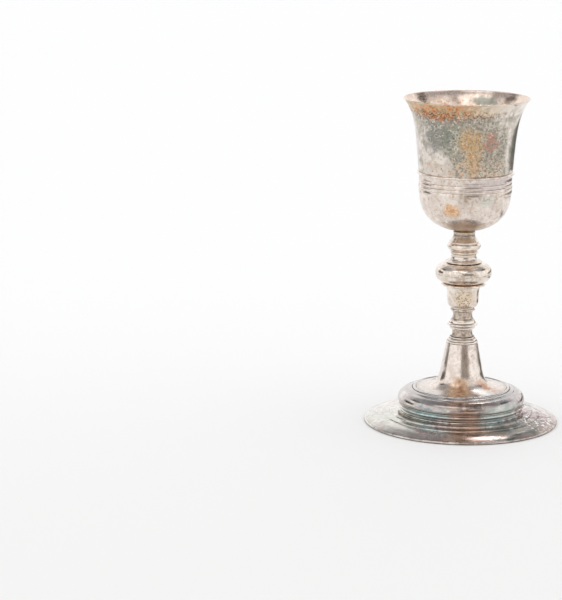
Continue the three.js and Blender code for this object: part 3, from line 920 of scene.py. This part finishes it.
def plain_metal(name, light, dark, rough):
    """Turned brass or wrought iron of the hidden pieces."""
    s = Shader(name)
    coat = Coat(s, s.tones(s.middle, 0.36, 0.64, dark, light), rough)
    coat.layer(s.step(s.fine, 0.5, 0.7), dark, rough=rough + 0.15, strength=0.7)
    # dirt and painted shade in the grooves
    coat.layer(s.step(s.grime, 0.2, 0.8), (40, 32, 26), rough=0.7, metal=0.5, strength=0.8)
    coat.relief(s.fine, 0.5)
    coat.relief(s.lines, 0.35)
    return coat.done(0.03)


# ---- assembly

CUP_DENT, FOOT_DENT, STEM_DENT = (11, 0.16), (23, 0.16), (5, 0.1)  # seed, size
ROD_THREAD = 13  # length of the thread at the rod's lower end

shaped = {}
cup_level = level_of("false_cup")
shaped["cup"] = revolve("chalice_cup", cup_outline(HEIGHT - cup_level), level=cup_level,
                        facets=192, step=1.3, edge=0.2, dent=CUP_DENT, closed=False)
shaped["false_cup"] = revolve("chalice_false_cup", false_cup_outline(), level=cup_level,
                              facets=192, step=1.1, edge=0.12, dent=CUP_DENT)
shaped["false_cup_rim"] = revolve("chalice_false_cup_wire", wire_outline(),
                                  level=level_of("false_cup_rim"), facets=192, dent=CUP_DENT)
shaped["cup_boss"] = revolve("chalice_cup_boss", [(0, 0), (4.7, 0), (4.7, 0.65), (0, 0.65)],
                             level=level_of("cup_boss"), facets=64, closed=False)
stud_low, stud_high = levels("cup_stud")
shaped["cup_stud"] = revolve("chalice_cup_stud", rod_outline(stud_low, stud_high), facets=48,
                             step=0.16, closed=False, shape=thread(stud_low, stud_high))
for node, outline in STEM.items():
    shaped[node] = revolve("chalice_" + node, outline, level=level_of(node), facets=112,
                           step=0.7, edge=0.14, dent=STEM_DENT)
shaped["foot_trumpet"] = revolve("chalice_foot_trumpet", trumpet_outline(), facets=160, step=0.9,
                                 dent=FOOT_DENT)
for node, outline in FOOT.items():
    shaped[node] = revolve("chalice_" + node, outline, facets=224, step=0.9, edge=0.16,
                           dent=FOOT_DENT)
rod_low, rod_high = levels("tie_rod")
shaped["tie_rod"] = revolve("chalice_tie_rod", rod_outline(rod_low, rod_high), facets=40,
                            step=0.18, closed=False, shape=thread(rod_low, rod_low + ROD_THREAD))
shaped["nut_washer"] = revolve("chalice_nut_washer", bored([(8, 0), (8, 1.1)]),
                               level=level_of("nut_washer"), facets=72, edge=0.2)
nut_low, nut_high = levels("retaining_nut")
shaped["retaining_nut"] = revolve("chalice_retaining_nut", nut_outline(nut_high - nut_low),
                                  level=nut_low, facets=160, step=0.3, edge=0.1, shape=square)

LOOKS = {
    "cup_silver": (cup_outside(), ["cup"]),
    "false_cup_silver": (false_cup_skin(), ["false_cup", "false_cup_rim"]),
    "stem_silver": (stem_skin(), [n for n in STEM if n != "cup_washer"]),
    "trumpet_silver": (trumpet_skin(), ["foot_trumpet"]),
    "foot_silver": (foot_skin(), list(FOOT)),
    "brass": (plain_metal("turned_brass", (176, 140, 84), (124, 96, 58), 0.38),
              ["cup_washer", "cup_boss", "cup_stud", "nut_washer"]),
    "iron": (plain_metal("wrought_iron", (112, 100, 90), (66, 56, 48), 0.55),
             ["tie_rod", "retaining_nut"]),
}
body_of = {
    node: body
    for body, nodes in frame["record"]["behaviour"]["bodies"].items()
    for node in nodes
}
for slot, (material, nodes) in LOOKS.items():
    for node in nodes:
        piece = shaped[node]
        piece.data.materials.append(material)
        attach(piece, body_of[node])
        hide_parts(node)


# how far a face must look towards the axis, and up or down
INWARDS, LEVEL = -1e-5, 0.5


def line(nodes, material, facing):
    """Gives the inner side its own finish: faces towards the axis, and up (1) or down (-1)."""
    for node in nodes:
        mesh = shaped[node].data
        mesh.materials.append(material)
        for polygon in mesh.polygons:
            normal, centre = polygon.normal, polygon.center
            inwards = normal.x * centre.x + normal.y * centre.y < INWARDS
            if inwards or facing * normal.z > LEVEL:
                polygon.material_index = 1


line(["cup"], cup_inside(), 1)
line(["foot_trumpet", "foot_dome", "foot_band", "foot_brim"], foot_inside(), -1)

# ---- studio

FLOOR = 14  # metres from the middle to each side
# colour of the floor in front and behind: painted light that pales with distance
FLOOR_NEAR, FLOOR_FAR = (0.83, 0.826, 0.814, 1), (0.905, 0.905, 0.902, 1)
SWEEP = 0.5  # metres before and behind the object, over which the floor changes
# degrees to the right of the front, distance, width, lowest and highest edge, and colour
CARDS = {
    "grey_front": (16, 1.92, 1.7, 0.0, 0.9, (182, 175, 168)),
    "dark_front": (13, 1.88, 1.15, 0.0, 0.9, (147, 140, 131)),
    "dark_right": (134, 0.8, 0.71, 0.0, 0.1, (104, 106, 99)),
    "dark_right_low": (131, 0.25, 0.115, 0.0, 0.028, (84, 76, 68)),
    "dark_right_high": (111, 0.66, 0.34, 0.5, 0.76, (64, 54, 50)),
    "dark_left": (-112, 1.3, 0.7, 0.0, 0.4, (78, 72, 66)),
    "dark_left_high": (-114, 1.3, 0.8, 0.84, 1.25, (74, 64, 58)),
}
# place, target, size and power
LAMPS = {
    "softbox_front": ((-0.45, -0.95, 1.55), (0, 0, 0.2), (1.7, 0.7), 4.4),
    "softbox_right": ((0.84, -0.59, 1.2), (0, 0, 0.2), (0.7, 0.5), 0.5),
    "softbox_back": ((0.25, 0.93, 1.28), (0, 0, 0.0), (0.3, 0.22), 1.4),
}
SUN_POWER, SUN_WIDTH, SUN_TILT = 1.48, 100, (-12, 10, 0)  # width and tilt in degrees
# how far a direction points up (0 level or below, 1 straight up), and the colour there
SKY = [(0.0, (1.12, 1.12, 1.12)), (0.56, (1.08, 1.08, 1.09)), (0.66, (0.42, 0.42, 0.43)),
       (1.0, (0.34, 0.34, 0.36))]
EYE_PITCH, EYE_ROLL = 11.922, 0.286  # degrees
EYE_PLACE = (-0.5558, -7.1169, 1.8785)  # in heights of the chalice
SENSOR, LENS = 36, 142.8


def card(name, corners, colour, rough, visible=False):
    """A flat sheet. One that isn't visible shows only in reflections."""
    mesh = bpy.data.meshes.new(name)
    mesh.from_pydata(corners, [], [tuple(range(len(corners)))])
    material = bpy.data.materials.new(name)
    material.use_nodes = True
    shader = material.node_tree.nodes["Principled BSDF"]
    shader.inputs["Base Color"].default_value = colour
    shader.inputs["Roughness"].default_value = rough
    mesh.materials.append(material)
    piece = bpy.data.objects.new(name, mesh)
    bpy.context.scene.collection.objects.link(piece)
    piece.visible_camera = visible
    piece.visible_diffuse = visible
    piece.visible_shadow = visible
    return piece


def sweep(floor, near, far):
    """Painted light on the floor: it pales with distance, as paper does that curves up behind the
    object.
    """
    tree = floor.data.materials[0].node_tree
    place = tree.nodes.new("ShaderNodeTexCoord")
    split = tree.nodes.new("ShaderNodeSeparateXYZ")
    reach = tree.nodes.new("ShaderNodeMapRange")
    reach.interpolation_type = "SMOOTHSTEP"
    reach.inputs["From Min"].default_value = -SWEEP
    reach.inputs["From Max"].default_value = SWEEP
    tone = tree.nodes.new("ShaderNodeMix")
    tone.data_type = "RGBA"
    tone.inputs["A"].default_value = near
    tone.inputs["B"].default_value = far
    tree.links.new(place.outputs["Object"], split.inputs[0])
    tree.links.new(split.outputs["Y"], reach.inputs["Value"])
    tree.links.new(reach.outputs["Result"], tone.inputs["Factor"])
    tree.links.new(tone.outputs["Result"], tree.nodes["Principled BSDF"].inputs["Base Color"])


def standing(name, degrees, distance, width, low, high, colour):
    """An upright card that faces the axis, at an angle to the right of the front."""
    t = math.radians(degrees)
    middle = Vector((math.sin(t), -math.cos(t), 0)) * distance
    side = Vector((math.cos(t), math.sin(t), 0)) * width / 2
    ends = [middle - side, middle + side]
    corners = [(*ends[0].xy, low), (*ends[1].xy, low), (*ends[1].xy, high), (*ends[0].xy, high)]
    return card(name, corners, colour, 1.0)


def lamp(name, place, target, size, power):
    """A soft box that lights only by its reflections."""
    data = bpy.data.lights.new(name, "AREA")
    data.shape = "RECTANGLE"
    data.size, data.size_y = size
    data.energy = power
    light = bpy.data.objects.new(name, data)
    light.location = place
    light.rotation_euler = (Vector(target) - Vector(place)).to_track_quat("-Z", "Y").to_euler()
    light.visible_diffuse = False
    bpy.context.scene.collection.objects.link(light)


def overhead():
    """Soft light from above, for everything that isn't a mirror."""
    data = bpy.data.lights.new("fill", "SUN")
    data.energy, data.angle = SUN_POWER, math.radians(SUN_WIDTH)
    light = bpy.data.objects.new("fill", data)
    light.rotation_euler = [math.radians(a) for a in SUN_TILT]
    light.visible_glossy = False
    bpy.context.scene.collection.objects.link(light)


def surroundings():
    """A pale room with a darker ceiling."""
    world = bpy.data.worlds.new("studio")
    bpy.context.scene.world = world
    world.use_nodes = True
    tree = world.node_tree
    background = tree.nodes["Background"]
    place = tree.nodes.new("ShaderNodeTexCoord")
    split = tree.nodes.new("ShaderNodeSeparateXYZ")
    tree.links.new(place.outputs["Generated"], split.inputs[0])
    climb = tree.nodes.new("ShaderNodeValToRGB")
    ramp = climb.color_ramp.elements
    for stop, (at, colour) in zip(ramp, SKY):
        stop.position, stop.color = at, (*colour, 1)
    for at, colour in SKY[2:]:
        ramp.new(at).color = (*colour, 1)
    tree.links.new(split.outputs["Z"], climb.inputs[0])
    tree.links.new(climb.outputs[0], background.inputs["Color"])


def camera():
    """From the front, a little to the left, 11.9 degrees above, with a narrow lens."""
    pitch, roll = math.radians(EYE_PITCH), math.radians(EYE_ROLL)
    ahead = Vector((0, math.cos(pitch), -math.sin(pitch)))
    right, up = Vector((1, 0, 0)), Vector((0, math.sin(pitch), math.cos(pitch)))
    x = right * math.cos(roll) + up * math.sin(roll)
    y = up * math.cos(roll) - right * math.sin(roll)
    place = Matrix((x, y, -ahead)).transposed().to_4x4()
    place.translation = Vector(EYE_PLACE) * (HEIGHT * MM)
    data = bpy.data.cameras.new("camera")
    data.sensor_width, data.lens = SENSOR, LENS
    eye = bpy.data.objects.new("camera", data)
    eye.matrix_world = place
    bpy.context.scene.collection.objects.link(eye)
    bpy.context.scene.camera = eye


corners = [(x * FLOOR, y * FLOOR, 0) for x, y in ((-1, -1), (1, -1), (1, 1), (-1, 1))]
floor = card("floor", corners, FLOOR_NEAR, 0.75, True)
sweep(floor, FLOOR_NEAR, FLOOR_FAR)
for name, (*place, colour) in CARDS.items():
    standing(name, *place, srgb(*colour))
for name, settings in LAMPS.items():
    lamp(name, *settings)
overhead()
surroundings()
camera()
bpy.context.scene.view_settings.view_transform = "Standard"
